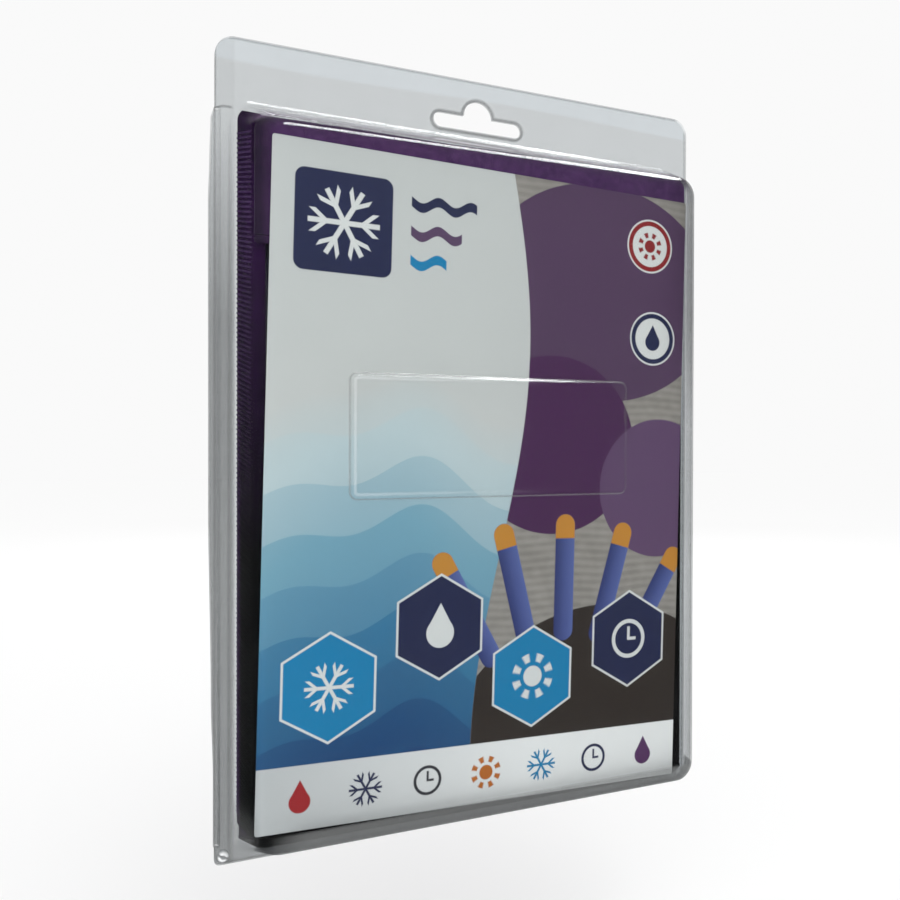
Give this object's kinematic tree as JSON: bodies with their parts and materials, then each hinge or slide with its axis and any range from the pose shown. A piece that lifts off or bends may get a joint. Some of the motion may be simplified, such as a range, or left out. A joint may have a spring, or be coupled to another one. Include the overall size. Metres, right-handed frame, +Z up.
{
  "type": "cooling wallet in a clamshell hang pack",
  "caption": "Fabric cooling wallet with a printed card, held in a clear hinged clamshell pack with press studs and a hang slot.",
  "frame": {"origin": "middle of the hang slot, on the plane where the two shells part", "axes": "+Z up, -Y out of the printed face, +X to the right as seen from the front"},
  "size_m": [0.1719, 0.0241, 0.246],
  "materials": {
    "clear_sheet": "clear glossy thermoformed sheet",
    "printed_card": "coated printed board",
    "purple_cloth": "brushed knitted cloth",
    "dark_cloth": "dark woven cloth",
    "lining_cloth": "woven cotton lining",
    "fastener_nylon": "hook and loop tape",
    "crystals": "dry water-absorbing granules"
  },
  "bodies": {
    "filled_tray": {"front_shell": "clear_sheet", "living_hinge": "clear_sheet", "insert_card": "printed_card", "cover_front": "dark_cloth", "cover_back_and_flap": "purple_cloth", "binding_left": "purple_cloth", "binding_right": "purple_cloth", "binding_foot": "purple_cloth", "flap_edge": "purple_cloth", "loop_strip": "fastener_nylon", "hook_strip": "fastener_nylon", "pouch_front_outer_layer": "lining_cloth", "pouch_front_inner_layer": "lining_cloth", "crystal_fill_front_1": "crystals", "crystal_fill_front_2": "crystals", "crystal_fill_front_3": "crystals", "crystal_fill_front_4": "crystals", "pouch_back_outer_layer": "lining_cloth", "pouch_back_inner_layer": "lining_cloth", "crystal_fill_back_1": "crystals", "crystal_fill_back_2": "crystals", "crystal_fill_back_3": "crystals", "crystal_fill_back_4": "crystals"},
    "rear_lid": {"rear_shell": "clear_sheet"}
  },
  "joints": [
    {"name": "lid_fold", "type": "hinge", "parent": "filled_tray", "child": "rear_lid", "pos_m": [-0.0853, 0, -0.1166], "axis": [0, 0, 1], "range_deg": [0, 180], "deforming": ["living_hinge"]}
  ]
}
